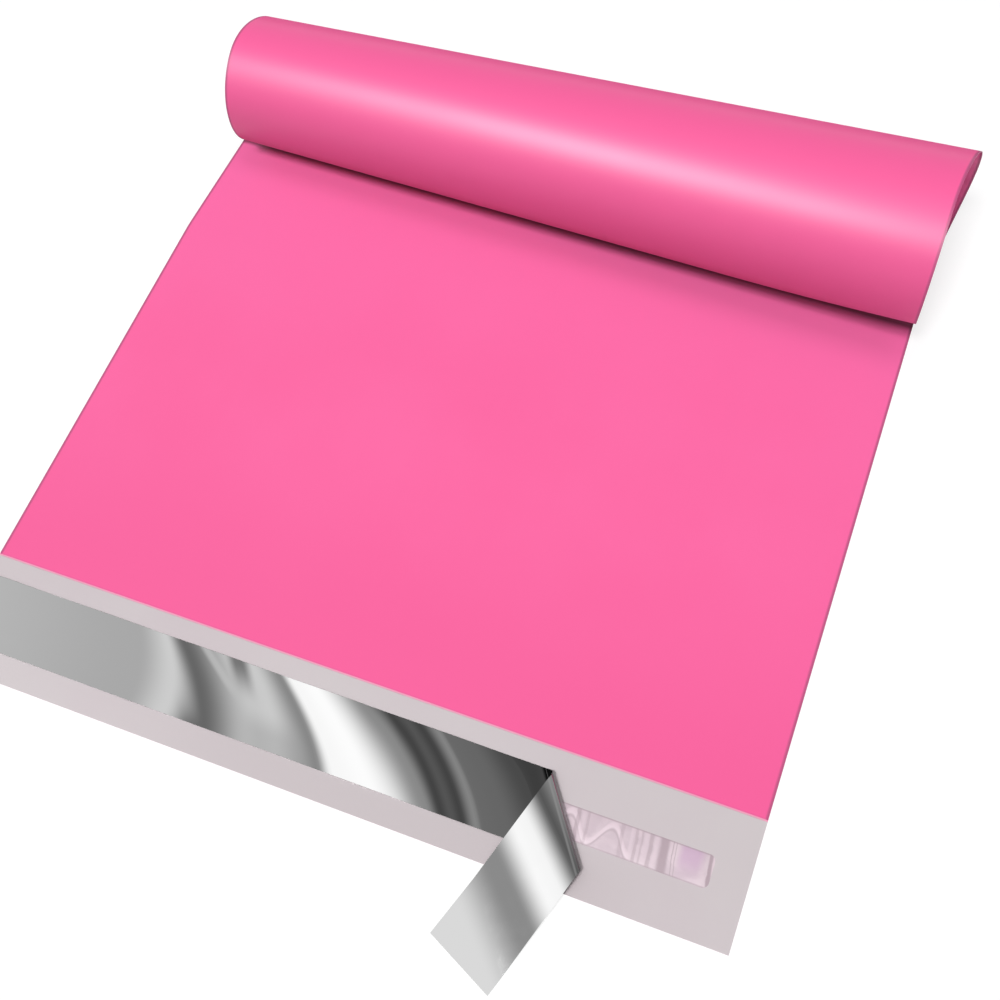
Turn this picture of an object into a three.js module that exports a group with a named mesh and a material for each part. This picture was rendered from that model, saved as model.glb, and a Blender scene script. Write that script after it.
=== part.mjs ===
// A flat poly mailer bag: its far, closed end is curled up and over, its adhesive flap lies open,
// and the release liner is peeled back from one end of the adhesive.
// Units are millimetres and +Z is up. The origin is on the floor, under the middle of the bag's mouth.
// +X runs along the mouth, and +Y runs from the mouth towards the closed end.

import * as THREE from 'three';
import { mergeVertices } from 'three/addons/utils/BufferGeometryUtils.js';

// Bag: one film, folded at the closed end and welded along both sides
const BAG_WIDTH = 254;
const BODY_LENGTH = 330.2;
const FLAP_DEPTH = 38.1;
const FILM_THICKNESS = 0.3;
const POCKET_GAP = 0.4;
const POCKET_LOFT_HEIGHT = 0.8;
const SIDE_WELD_WIDTH = 4;
const END_FOLD_WIDTH = 1.5;

// Curl of the closed end: a slightly tapered roll that starts tangent to the floor. Past the
// tuck's start the film turns inwards, by the tuck's depth over a quarter turn. The left edge
// leans in towards the middle as it climbs the roll.
const FLAT_LENGTH_LEFT = 190.2;
const FLAT_LENGTH_RIGHT = 187;
const CURL_RADIUS_LEFT = 22.4;
const CURL_RADIUS_RIGHT = 29;
const TUCK_START = THREE.MathUtils.degToRad(270);
const TUCK_DEPTH = 8;
const LEFT_EDGE_LEAN_START = 138;
const LEFT_EDGE_LEAN = 11.5;

// Adhesive: one hot-melt line along the flap, with rounded corners
const GLUE_WIDTH = 9.6;
const GLUE_THICKNESS = 0.2;
const GLUE_SETBACK = 13.9;
const GLUE_END_MARGIN = 10.5;
const GLUE_CORNER_RADIUS = 2;

// Release liner: a strip on the adhesive, folded back over a slanted bend
const LINER_WIDTH = 22.9;
const LINER_THICKNESS = 0.16;
const LINER_SETBACK = 6.5;
const LINER_END_MARGIN = 0.5;
const PEEL_SETBACK = 56.5;
const BEND_SLANT = THREE.MathUtils.degToRad(-54.3);
const BEND_RADIUS = 2.2;
const LANDING_RUN = 4.4;
const LANDING_RADIUS = 8;

// Steps of the grids
const STEPS_ACROSS = 8;
const STEPS_FLAT = 8;
const STEPS_CURL = 44;
const STEPS_GLUE_CORNER = 6;
const STEPS_STUCK = 6;
const STEPS_BEND = 10;
const STEPS_PEELED = 22;
const STEPS_LINER_WIDTH = 4;
const MERGE_DISTANCE = 1e-4;

const lerp = THREE.MathUtils.lerp;

function steps(start, end, count) {
  return Array.from({ length: count + 1 }, (_, i) => lerp(start, end, i / count));
}

// Adds two triangles for each cell of a grid. They face along (next row) x (next column),
// or the other way if flipped.
function addGrid(positions, rows, columns, point, flipped = false) {
  for (let i = 0; i + 1 < rows.length; i += 1) {
    for (let j = 0; j + 1 < columns.length; j += 1) {
      const a = point(rows[i], columns[j]);
      const b = point(rows[i + 1], columns[j]);
      const c = point(rows[i + 1], columns[j + 1]);
      const d = point(rows[i], columns[j + 1]);
      const corners = flipped ? [a, c, b, a, d, c] : [a, b, c, a, c, d];
      for (const corner of corners) {
        positions.push(corner.x, corner.y, corner.z);
      }
    }
  }
}

function closedGeometry(positions) {
  const geometry = new THREE.BufferGeometry();
  geometry.setAttribute('position', new THREE.Float32BufferAttribute(positions, 3));
  const merged = mergeVertices(geometry, MERGE_DISTANCE);
  merged.computeVertexNormals();
  return merged;
}

function namedMesh(name, geometry, color, roughness, metalness) {
  const material = new THREE.MeshStandardMaterial({ color, roughness, metalness });
  const mesh = new THREE.Mesh(geometry, material);
  mesh.name = name;
  return mesh;
}

// The film's outer face. A station says how far along the bag a point is: -1 is the flap's
// free edge, 0 the mouth, 1 the start of the curl and 2 the closed end. The offset is measured
// from the outer face towards the inside of the curl.
function filmPoint(across, station, offset) {
  const side = across / BAG_WIDTH + 0.5;
  const flatLength = lerp(FLAT_LENGTH_LEFT, FLAT_LENGTH_RIGHT, side);
  const radius = lerp(CURL_RADIUS_LEFT, CURL_RADIUS_RIGHT, side);
  const curlLength = BODY_LENGTH - flatLength;
  const turn = (Math.max(station - 1, 0) * curlLength) / radius;
  let along = flatLength;
  if (station < 0) {
    along = station * FLAP_DEPTH;
  } else if (station < 1) {
    along = station * flatLength;
  }
  const travelled = along + turn * radius;
  const lean = Math.max(travelled - LEFT_EDGE_LEAN_START, 0) / (BODY_LENGTH - LEFT_EDGE_LEAN_START);
  const tucked = Math.max(turn - TUCK_START, 0) / (Math.PI / 2);
  const reach = radius - offset - TUCK_DEPTH * tucked ** 2;
  return new THREE.Vector3(
    across + lean * LEFT_EDGE_LEAN * (1 - side),
    along + reach * Math.sin(turn),
    radius - reach * Math.cos(turn),
  );
}

// The pocket between the two panels is widest along the middle of the flat stretch.
const pocketHalfWidth = BAG_WIDTH / 2 - SIDE_WELD_WIDTH;

function pocketGap(across, station) {
  const middle = Math.max(1 - (across / pocketHalfWidth) ** 2, 0);
  const lengthwise = Math.sin(Math.PI * Math.min(station, 1));
  return POCKET_GAP + POCKET_LOFT_HEIGHT * middle * lengthwise;
}

// The four faces of the film, from the floor up: the back panel's outer and inner faces, then
// the front panel's inner and outer faces.
const BACK_OUTSIDE = 0;
const BACK_INSIDE = 1;
const FRONT_INSIDE = 2;
const FRONT_OUTSIDE = 3;

function layerOffset(across, station, layer) {
  if (layer === BACK_OUTSIDE) {
    return 0;
  }
  if (layer === BACK_INSIDE) {
    return FILM_THICKNESS;
  }
  const frontInside = FILM_THICKNESS + pocketGap(across, station);
  return layer === FRONT_INSIDE ? frontInside : frontInside + FILM_THICKNESS;
}

function bagFilmGeometry() {
  const positions = [];
  const leftEdge = -BAG_WIDTH / 2;
  const rightEdge = BAG_WIDTH / 2;
  const pocketAcross = steps(-pocketHalfWidth, pocketHalfWidth, STEPS_ACROSS);
  const allAcross = [leftEdge, ...pocketAcross, rightEdge];
  const meanCurl = BODY_LENGTH - (FLAT_LENGTH_LEFT + FLAT_LENGTH_RIGHT) / 2;
  const pocketEnd = 2 - END_FOLD_WIDTH / meanCurl;
  const flatStations = steps(0, 1, STEPS_FLAT);
  const curlStations = steps(1, pocketEnd, STEPS_CURL).slice(1);
  const pocketStations = [...flatStations, ...curlStations];
  const bodyStations = [...pocketStations, 2];
  const flapStations = [-1, 0];
  const wholeStations = [-1, ...bodyStations];
  const point = (x, s, layer) => filmPoint(x, s, layerOffset(x, s, layer));
  const surface = (layer) => (x, s) => point(x, s, layer);
  const crossEdge = (s) => (x, layer) => point(x, s, layer);
  const sideEdge = (x) => (s, layer) => point(x, s, layer);
  const backLayers = [BACK_OUTSIDE, BACK_INSIDE];
  const pocketLayers = [BACK_INSIDE, FRONT_INSIDE];
  const frontLayers = [FRONT_INSIDE, FRONT_OUTSIDE];
  const weldLayers = [BACK_INSIDE, FRONT_INSIDE, FRONT_OUTSIDE];

  // Outer face of the back panel, the flap's inner face and the front panel's outer face
  addGrid(positions, allAcross, wholeStations, surface(BACK_OUTSIDE), true);
  addGrid(positions, allAcross, flapStations, surface(BACK_INSIDE));
  addGrid(positions, allAcross, bodyStations, surface(FRONT_OUTSIDE));

  // The pocket's own faces
  addGrid(positions, pocketAcross, pocketStations, surface(BACK_INSIDE));
  addGrid(positions, pocketAcross, pocketStations, surface(FRONT_INSIDE), true);
  addGrid(positions, pocketStations, pocketLayers, sideEdge(-pocketHalfWidth));
  addGrid(positions, pocketStations, pocketLayers, sideEdge(pocketHalfWidth), true);
  addGrid(positions, pocketAcross, pocketLayers, crossEdge(pocketEnd));

  // The flap's free edge, the mouth and the fold of the closed end
  addGrid(positions, allAcross, backLayers, crossEdge(-1));
  addGrid(positions, pocketAcross, frontLayers, crossEdge(0));
  addGrid(positions, [leftEdge, -pocketHalfWidth], weldLayers, crossEdge(0));
  addGrid(positions, [pocketHalfWidth, rightEdge], weldLayers, crossEdge(0));
  addGrid(positions, allAcross, [BACK_OUTSIDE, ...weldLayers], crossEdge(2), true);

  // The welded sides, and the sides of the flap
  addGrid(positions, wholeStations, backLayers, sideEdge(leftEdge), true);
  addGrid(positions, wholeStations, backLayers, sideEdge(rightEdge));
  addGrid(positions, bodyStations, weldLayers, sideEdge(leftEdge), true);
  addGrid(positions, bodyStations, weldLayers, sideEdge(rightEdge));
  return closedGeometry(positions);
}

// The adhesive lies flat on the flap, so it is a plain extruded outline.
function adhesiveGeometry() {
  const corner = Math.min(GLUE_CORNER_RADIUS, GLUE_WIDTH / 2);
  const cornerX = BAG_WIDTH / 2 - GLUE_END_MARGIN - corner;
  const cornerY = GLUE_WIDTH / 2 - corner;
  const quarterTurn = Math.PI / 2;
  const outline = new THREE.Shape();
  outline.moveTo(-cornerX, -cornerY - corner);
  outline.absarc(cornerX, -cornerY, corner, -quarterTurn, 0);
  outline.absarc(cornerX, cornerY, corner, 0, quarterTurn);
  outline.absarc(-cornerX, cornerY, corner, quarterTurn, 2 * quarterTurn);
  outline.absarc(-cornerX, -cornerY, corner, 2 * quarterTurn, 3 * quarterTurn);
  return new THREE.ExtrudeGeometry(outline, {
    depth: GLUE_THICKNESS,
    bevelEnabled: false,
    curveSegments: STEPS_GLUE_CORNER,
  });
}

// The liner's bend runs along bendLine, and bendNormal points from it towards the end that
// was peeled. Folded over, the strip heads along the mirror image of +X.
const bendLine = new THREE.Vector2(Math.cos(BEND_SLANT), Math.sin(BEND_SLANT));
const bendNormal = new THREE.Vector2(-Math.sin(BEND_SLANT), Math.cos(BEND_SLANT));
const peelDirection = new THREE.Vector2(Math.cos(2 * BEND_SLANT), Math.sin(2 * BEND_SLANT));
const linerTop = -LINER_SETBACK;
const linerMiddle = linerTop - LINER_WIDTH / 2;
const linerBottom = linerTop - LINER_WIDTH;
const linerEnd = BAG_WIDTH / 2 - LINER_END_MARGIN;
const bendX = BAG_WIDTH / 2 - PEEL_SETBACK;
const linerBase = FILM_THICKNESS + GLUE_THICKNESS + LINER_THICKNESS / 2;

// Past the bend the strip slopes down in a straight ramp, which is the tangent between the
// bend's circle and the circle of the landing, and it lies on the floor past the flap's edge.
const flapRun = (linerTop + FLAP_DEPTH) / -peelDirection.y;
const landingDistance = LANDING_RUN - flapRun * peelDirection.dot(bendNormal) - (Math.PI / 2) * BEND_RADIUS;
const landingFloor = LINER_THICKNESS / 2;
const centreDrop = linerBase + BEND_RADIUS - (landingFloor + LANDING_RADIUS);
const centreDistance = Math.hypot(landingDistance, centreDrop);
const rampAngle = Math.atan2(centreDrop, landingDistance)
  + Math.asin((BEND_RADIUS + LANDING_RADIUS) / centreDistance);
const bendEnd = BEND_RADIUS * (Math.PI + rampAngle);
const rampLength = Math.sqrt(centreDistance ** 2 - (BEND_RADIUS + LANDING_RADIUS) ** 2);
const rampEnd = bendEnd + rampLength;
const landingEnd = rampEnd + LANDING_RADIUS * rampAngle;

// Middle of the strip's thickness, by the distance along the film from the start of the bend:
// how far it lies along bendNormal, its height, and the angle that the strip has turned.
function linerProfile(distance) {
  if (distance <= 0) {
    return { run: distance, height: linerBase, turned: 0 };
  }
  if (distance <= bendEnd) {
    const turned = distance / BEND_RADIUS;
    const height = linerBase + BEND_RADIUS * (1 - Math.cos(turned));
    return { run: BEND_RADIUS * Math.sin(turned), height, turned };
  }
  if (distance <= rampEnd) {
    const slope = distance - bendEnd;
    const top = linerProfile(bendEnd);
    const run = top.run - slope * Math.cos(rampAngle);
    return { run, height: top.height - slope * Math.sin(rampAngle), turned: top.turned };
  }
  if (distance <= landingEnd) {
    const left = (landingEnd - distance) / LANDING_RADIUS;
    const height = landingFloor + LANDING_RADIUS * (1 - Math.cos(left));
    return { run: -landingDistance + LANDING_RADIUS * Math.sin(left), height, turned: Math.PI + left };
  }
  return { run: -landingDistance - (distance - landingEnd), height: landingFloor, turned: Math.PI };
}

// A point of the strip by its place in the flat, unpeeled strip. The layer is -0.5 on the face
// that the adhesive held and 0.5 on the other face.
function linerPoint(x, y, layer) {
  const flat = new THREE.Vector2(x - bendX, y - linerMiddle);
  const profile = linerProfile(flat.dot(bendNormal));
  const offset = layer * LINER_THICKNESS;
  const along = flat.dot(bendLine);
  const run = profile.run - offset * Math.sin(profile.turned);
  return new THREE.Vector3(
    bendX + bendLine.x * along + bendNormal.x * run,
    linerMiddle + bendLine.y * along + bendNormal.y * run,
    profile.height + offset * Math.cos(profile.turned),
  );
}

// Where a line beside the bend, at a distance from its start, crosses the flat strip
function bendCrossing(distance, y) {
  return bendX + (distance - (y - linerMiddle) * bendNormal.y) / bendNormal.x;
}

// Columns are numbered 0 to 1 along the stuck part, 1 to 2 round the bend and 2 to 3 on to the end.
function linerColumnX(column, y) {
  const bendStartX = bendCrossing(0, y);
  const bendEndX = bendCrossing(bendEnd, y);
  if (column <= 1) {
    return lerp(-linerEnd, bendStartX, column);
  }
  if (column <= 2) {
    return lerp(bendStartX, bendEndX, column - 1);
  }
  return lerp(bendEndX, linerEnd, column - 2);
}

function releaseLinerGeometry() {
  const positions = [];
  const stuck = steps(0, 1, STEPS_STUCK);
  const bend = steps(1, 2, STEPS_BEND).slice(1);
  const peeled = steps(2, 3, STEPS_PEELED).slice(1);
  const columns = [...stuck, ...bend, ...peeled];
  const rows = steps(linerBottom, linerTop, STEPS_LINER_WIDTH);
  const layers = [-0.5, 0.5];
  const place = (column, y, layer) => linerPoint(linerColumnX(column, y), y, layer);
  addGrid(positions, columns, rows, (column, y) => place(column, y, 0.5));
  addGrid(positions, columns, rows, (column, y) => place(column, y, -0.5), true);
  addGrid(positions, columns, layers, (column, layer) => place(column, linerBottom, layer));
  addGrid(positions, columns, layers, (column, layer) => place(column, linerTop, layer), true);
  addGrid(positions, rows, layers, (y, layer) => place(0, y, layer), true);
  addGrid(positions, rows, layers, (y, layer) => place(3, y, layer));
  return closedGeometry(positions);
}

const bag = new THREE.Group();
bag.name = 'poly_mailer_bag';

bag.add(namedMesh('bag_film', bagFilmGeometry(), 0xff6da9, 0.35, 0));

const adhesive = namedMesh('adhesive_strip', adhesiveGeometry(), 0xc9b4be, 0.3, 0);
adhesive.position.set(0, -GLUE_SETBACK - GLUE_WIDTH / 2, FILM_THICKNESS);
bag.add(adhesive);

bag.add(namedMesh('release_liner', releaseLinerGeometry(), 0xb4b4b6, 0.2, 0.9));

export default bag;
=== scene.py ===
"""A flat poly mailer bag on a pale studio floor.

Its closed end is rolled up and over, its adhesive flap lies open towards the camera, and the silver
release liner is peeled from one end of the adhesive and folded back. Everything is in metres: +X
runs along the mouth, +Y from the mouth to the closed end, and the origin is on the floor.
"""

import math

import bpy
import numpy as np
from mathutils import Matrix, Vector


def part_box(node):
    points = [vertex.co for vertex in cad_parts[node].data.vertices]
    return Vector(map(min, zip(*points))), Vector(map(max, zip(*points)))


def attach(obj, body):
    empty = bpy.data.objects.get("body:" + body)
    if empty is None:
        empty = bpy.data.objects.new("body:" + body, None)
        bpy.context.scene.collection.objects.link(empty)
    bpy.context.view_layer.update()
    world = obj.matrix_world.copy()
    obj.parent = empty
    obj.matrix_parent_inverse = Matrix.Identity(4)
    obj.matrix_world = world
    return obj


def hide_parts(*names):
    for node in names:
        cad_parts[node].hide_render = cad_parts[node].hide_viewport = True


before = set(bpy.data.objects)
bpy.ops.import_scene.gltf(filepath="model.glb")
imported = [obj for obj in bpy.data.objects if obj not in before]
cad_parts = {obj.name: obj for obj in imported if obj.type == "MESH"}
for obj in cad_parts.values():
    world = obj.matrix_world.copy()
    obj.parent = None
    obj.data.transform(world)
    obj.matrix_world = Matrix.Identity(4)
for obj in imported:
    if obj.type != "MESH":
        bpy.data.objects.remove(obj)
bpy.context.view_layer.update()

# Sizes that the frame gives
bag_low, bag_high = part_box("bag_film")
glue_low, glue_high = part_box("adhesive_strip")
BAG_WIDTH = bag_high.x - bag_low.x
FLAP_DEPTH = -bag_low.y
CURL_RADIUS_RIGHT = bag_high.z / 2
FLAT_LENGTH_RIGHT = bag_high.y - CURL_RADIUS_RIGHT

# Bag: one film, folded at the closed end and welded along both sides
BODY_LENGTH = 0.3302
FLAT_LENGTH_LEFT = 0.1902
CURL_RADIUS_LEFT = 0.0224
TUCK_START = math.radians(270)
TUCK_DEPTH = 0.008
LEFT_EDGE_LEAN_START = 0.138
LEFT_EDGE_LEAN = 0.0115
WIND_SHIFT = 0.0046
WIND_SHIFT_END = math.radians(200)
FILM_THICKNESS = 0.00012
WELD_GAP = 0.00005
MOUTH_GAP = 0.00012
POCKET_LOFT = 0.0009
CURL_LOFT = 0.00022
SIDE_WELD_WIDTH = 0.004
PUCKER_HEIGHT = 0.00012
# Waves of the puckers: radians per metre along X and Y, phase and share
PUCKER_WAVES = ((61, 23, 0.6, 1.0), (-34, 71, 2.1, 1.0), (113, -47, 4.0, 0.6))

# Release liner: a strip on the adhesive, folded back over a slanted bend
LINER_WIDTH = 0.0229
LINER_THICKNESS = 0.0001
LINER_SETBACK = 0.0065
LINER_END_MARGIN = 0.0005
PEEL_SETBACK = 0.0565
BEND_SLANT = math.radians(-54.3)
BEND_RADIUS = 0.0022
LANDING_RUN = 0.0044
LANDING_RADIUS = 0.008
STUCK_FADE = 0.01
LINER_SWELL = 0.00022
SWELL_RATE = 165.0
SWELL_SLANT = 0.85
SWELL_PHASE = 0.8
LINER_SINK = 0.00007
SINK_FADE = 0.003
# Finer rows at the bend: how far they reach before and after it
BEND_ROWS = (0.01, 0.022)
# Rows keep the bend's slant this far before and after it, and turn square by the strip's ends
SLANTED_ROWS = (0.02, 0.03)
LINER_END_LEAN = 0.0027
LINER_MIDDLE = -LINER_SETBACK - LINER_WIDTH / 2
BEND_X = BAG_WIDTH / 2 - PEEL_SETBACK
BEND_NORMAL = (-math.sin(BEND_SLANT), math.cos(BEND_SLANT))
BEND_LINE = (math.cos(BEND_SLANT), math.sin(BEND_SLANT))

# Adhesive
GLUE_CORNER = 0.0019
GLUE_HEIGHT = 0.0002
GLUE_RIDGE_HEIGHT = 0.00012
RIDGE_HALF_WIDTH = 0.0008
RIDGE_END_FADE = 0.001
BARE_FADE = 0.003
RIDGE_CREST = 0.087
RIDGE_LENGTH = 0.0125
RIDGE_RATE = 2 * math.pi / RIDGE_LENGTH
RIDGE_SWING = 0.0034
RIDGE_END = 0.0935
RIDGE_SHADE_DROP = 0.0014
FOLD_LEAN = 0.12
FOLD_WANDER = 0.0012
# Folds across the adhesive: middle, half width, and how deep the groove and how dark the painted
# shade in it, from 0 to 1
GLUE_FOLDS = (
    (0.0768, 0.0006, 0.55), (0.0797, 0.0004, 0.35), (0.0899, 0.0006, 0.35), (0.0942, 0.0005, 0.45),
    (0.0958, 0.0003, 0.35), (0.0984, 0.0006, 0.5), (0.1023, 0.0014, 0.85), (0.1049, 0.00016, 0.6),
    (0.1058, 0.00014, 0.5), (0.1158, 0.0006, 0.9),
)
# Painted highlights beside the folds: middle and half width
GLUE_RIBBONS = ((0.0783, 0.0005), (0.0928, 0.0004), (0.0970, 0.0006), (0.0999, 0.0005))
GLUE_MIDDLE = (glue_low.y + glue_high.y) / 2
GLUE_HALF_WIDTH = (glue_high.y - glue_low.y) / 2

# The UV map's name, the body's name, and the angle above which an edge stays sharp
FLAT_UV = "place_on_flat_film"
BODY = "root"
SHARP_ANGLE = math.radians(50)


# Point grids

def steps(*stops):
    """Evenly spaced values between each stop and the next; a stop is (value, steps to the next one)."""
    runs = [np.linspace(a, b, n, endpoint=False) for (a, n), (b, _) in zip(stops, stops[1:])]
    return np.concatenate([*runs, [stops[-1][0]]])


def unit_steps(grid, axis):
    """Direction of the grid lines at each point: the unit step to it plus the unit step from it."""
    step = np.diff(grid, axis=axis)
    step = step / np.linalg.norm(step, axis=2, keepdims=True)
    first = np.take(step, [0], axis=axis)
    last = np.take(step, [-1], axis=axis)
    return np.concatenate([first, step], axis=axis) + np.concatenate([step, last], axis=axis)


def face_normals(grid):
    """Unit normals of a point grid: along its rows' order crossed with along its columns' order."""
    normal = np.cross(unit_steps(grid, 0), unit_steps(grid, 1))
    return normal / np.linalg.norm(normal, axis=2, keepdims=True)


def sheet_mesh(name, middle, thickness, flat_place, materials):
    """A thin sheet: its middle surface moved half its thickness to each side, and joined by rims.

    The outer side lies along the middle's normals. The materials are for the outer side, the inner
    side and the rims. flat_place is each point's place on the flat film, kept as a UV map.
    """
    half = face_normals(middle) * (np.asarray(thickness) / 2)
    points = np.concatenate([(middle + half).reshape(-1, 3), (middle - half).reshape(-1, 3)])
    rows, columns = middle.shape[:2]
    outer = np.arange(rows * columns).reshape(rows, columns)
    inner = outer + rows * columns
    outer_faces = np.stack([outer[:-1, :-1], outer[1:, :-1], outer[1:, 1:], outer[:-1, 1:]], -1)
    inner_faces = np.stack([inner[:-1, 1:], inner[1:, 1:], inner[1:, :-1], inner[:-1, :-1]], -1)
    loop = np.concatenate([outer[:, 0], outer[-1, 1:], outer[:-1, -1][::-1], outer[0, 1:-1][::-1]])
    after = np.roll(loop, -1)
    rims = np.stack([after, loop, loop + rows * columns, after + rows * columns], -1)
    faces = np.concatenate([outer_faces.reshape(-1, 4), inner_faces.reshape(-1, 4), rims])
    side = np.repeat([0, 1, 2], [outer_faces.size // 4, inner_faces.size // 4, len(rims)])
    place = np.concatenate([flat_place.reshape(-1, 2)] * 2)
    return quad_object(name, points, faces, side, place, materials)


def quad_object(name, points, faces, material_index, place, materials):
    """A smooth-shaded object from arrays of points, four-sided faces and places on the flat film."""
    mesh = bpy.data.meshes.new(name)
    mesh.from_pydata(points.tolist(), [], faces.tolist())
    for material in materials:
        mesh.materials.append(material)
    mesh.polygons.foreach_set("material_index", material_index.astype(np.int32))
    corner = np.empty(len(mesh.loops), np.int32)
    mesh.loops.foreach_get("vertex_index", corner)
    layer = mesh.uv_layers.new(name=FLAT_UV)
    layer.data.foreach_set("uv", place[corner].astype(np.float32).ravel())
    mesh.shade_smooth()
    mesh.set_sharp_from_angle(angle=SHARP_ANGLE)
    mesh.update()
    piece = bpy.data.objects.new(name, mesh)
    bpy.context.scene.collection.objects.link(piece)
    return piece


# Node helpers

def node(tree, kind, **inputs):
    """Adds a shader node. Keys that are settings are set, and others fill the input of that name."""
    made = tree.nodes.new("ShaderNode" + kind)
    for key, value in inputs.items():
        if hasattr(made, key):
            setattr(made, key, value)
        else:
            fill(tree, made.inputs[key.replace("_", " ")], value)
    return made


def fill(tree, socket, value):
    """Links an output to an input socket, or sets the input's own value."""
    if isinstance(value, bpy.types.NodeSocket):
        tree.links.new(value, socket)
    else:
        socket.default_value = value


def maths(tree, operation, *values, clamp=False):
    """A Math node's output."""
    made = node(tree, "Math", operation=operation, use_clamp=clamp)
    for socket, value in zip(made.inputs, values):
        fill(tree, socket, value)
    return made.outputs[0]


def ramp(tree, value, start, end, low=0.0, high=1.0, smooth=True):
    """A value taken from low to high as the input goes from start to end."""
    made = node(tree, "MapRange", interpolation_type="SMOOTHSTEP" if smooth else "LINEAR")
    for socket, given in zip(made.inputs, (value, start, end, low, high)):
        fill(tree, socket, given)
    return made.outputs[0]


def mixed(tree, share, first, second, blend="MIX"):
    """A Mix node's colour."""
    made = node(tree, "Mix", data_type="RGBA", blend_type=blend)
    fill(tree, made.inputs[0], share)
    fill(tree, made.inputs[6], first)
    fill(tree, made.inputs[7], second)
    return made.outputs[2]


def srgb(red, green, blue):
    """A linear colour from the 0 to 255 values of a picture."""
    shares = np.array([red, green, blue]) / 255
    linear = np.where(shares > 0.04045, ((shares + 0.055) / 1.055) ** 2.4, shares / 12.92)
    return (*linear.tolist(), 1.0)


def difference(tree, first, second):
    """The size of the difference between two values."""
    return maths(tree, "ABSOLUTE", maths(tree, "SUBTRACT", first, second))


def film_xy(tree):
    """X and Y of the place on the flat film."""
    place = node(tree, "UVMap", uv_map=FLAT_UV).outputs[0]
    parts = node(tree, "SeparateXYZ", Vector=place).outputs
    return parts["X"], parts["Y"]


def new_material(name, **settings):
    """A material with one Principled BSDF, and its node tree."""
    material = bpy.data.materials.new(name)
    material.use_nodes = True
    tree = material.node_tree
    shader = tree.nodes["Principled BSDF"]
    for key, value in settings.items():
        shader.inputs[key.replace("_", " ")].default_value = value
    return material, tree, shader


def bumped(tree, height, distance, strength=1.0):
    """A Bump node's normal."""
    return node(tree, "Bump", Height=height, Distance=distance, Strength=strength).outputs["Normal"]


# Finishes

# Blown film: the scales of its noises, and how much each counts for colour, gloss and height
MOTTLE_SCALE = 16.0
MOTTLE_RANGE = (0.35, 0.68)
GRAIN_SCALE = 2600.0
GRAIN_DEPTH = 0.000004
DRAW_LINE_SCALE = (420.0, 9.0, 1.0)
DRAW_LINE_SHADE = 0.25
DRAW_LINE_HEIGHT = 0.6
DEEP_TONE_SHARE = 0.8
ROUGHNESS_SPREAD = 0.08


def film_grain_group():
    """Blown film: soft mottle, fine grain and faint lines drawn along the web.

    Colour goes between the light and the deep tone by the mottle and the lines. Roughness varies
    round its given value, and Height holds grain and lines for a bump.
    """
    group = bpy.data.node_groups.new("film_grain", "ShaderNodeTree")
    face = group.interface
    face.new_socket("Light tone", in_out="INPUT", socket_type="NodeSocketColor")
    face.new_socket("Deep tone", in_out="INPUT", socket_type="NodeSocketColor")
    face.new_socket("Roughness", in_out="INPUT", socket_type="NodeSocketFloat")
    face.new_socket("Colour", in_out="OUTPUT", socket_type="NodeSocketColor")
    face.new_socket("Roughness", in_out="OUTPUT", socket_type="NodeSocketFloat")
    face.new_socket("Height", in_out="OUTPUT", socket_type="NodeSocketFloat")
    given = group.nodes.new("NodeGroupInput").outputs
    place = node(group, "UVMap", uv_map=FLAT_UV).outputs[0]
    cloudy = node(group, "TexNoise", Vector=place, Scale=MOTTLE_SCALE, Detail=3.0).outputs[0]
    grain = node(group, "TexNoise", Vector=place, Scale=GRAIN_SCALE, Detail=2.0).outputs[0]
    drawn = node(group, "Mapping", Vector=place, Scale=DRAW_LINE_SCALE).outputs[0]
    lines = node(group, "TexNoise", Vector=drawn, Scale=1.0, Detail=2.0).outputs[0]
    mottle = ramp(group, cloudy, *MOTTLE_RANGE)
    shade = maths(group, "ADD", mottle, maths(group, "MULTIPLY", lines, DRAW_LINE_SHADE))
    deep = maths(group, "MULTIPLY", shade, DEEP_TONE_SHARE, clamp=True)
    colour = mixed(group, deep, given["Light tone"], given["Deep tone"])
    uneven = maths(group, "MULTIPLY", maths(group, "SUBTRACT", cloudy, 0.5), ROUGHNESS_SPREAD)
    out = group.nodes.new("NodeGroupOutput").inputs
    group.links.new(colour, out["Colour"])
    group.links.new(maths(group, "ADD", given["Roughness"], uneven), out["Roughness"])
    height = maths(group, "ADD", grain, maths(group, "MULTIPLY", lines, DRAW_LINE_HEIGHT))
    group.links.new(height, out["Height"])
    return group


film_grain = film_grain_group()


def grained(tree, light, deep, roughness):
    """The film grain group placed in a material, with its own tones."""
    made = tree.nodes.new("ShaderNodeGroup")
    made.node_tree = film_grain
    made.inputs["Light tone"].default_value = light
    made.inputs["Deep tone"].default_value = deep
    made.inputs["Roughness"].default_value = roughness
    return made.outputs


# Pink outside of the film: tones of the open panel, the curl, its slit and the edges, and the tone
# that the film lends to what lies near it. Painted shade lies near the mouth, on the curl, in the slit
# under it and just behind the mouth's pale line. Painted light lies on the panel towards the curl, and
# the pale line along the mouth is a painted highlight. A dark line runs along each side edge.
PINK_LIGHT = srgb(252, 102, 165)
PINK_DEEP = srgb(251, 98, 161)
PINK_PAINTED_SHADE_NEAR_MOUTH = srgb(245, 91, 154)
PINK_PAINTED_LIGHT_NEAR_CURL = srgb(254, 107, 172)
PINK_CURL_PAINTED_SHADE = srgb(250, 97, 159)
PINK_PAINTED_CURL_FRONT_SHADE = srgb(226, 89, 144)
PINK_BOUNCE = srgb(196, 92, 142)
PINK_PAINTED_SLIT_SHADE = srgb(70, 8, 30)
PINK_PAINTED_MOUTH_HIGHLIGHT = srgb(236, 158, 186)
PINK_SIDE_LINE_AND_LIP_SHADE = srgb(168, 76, 118)
FILM_LENGTH = FLAP_DEPTH + 2 * BODY_LENGTH
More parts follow.
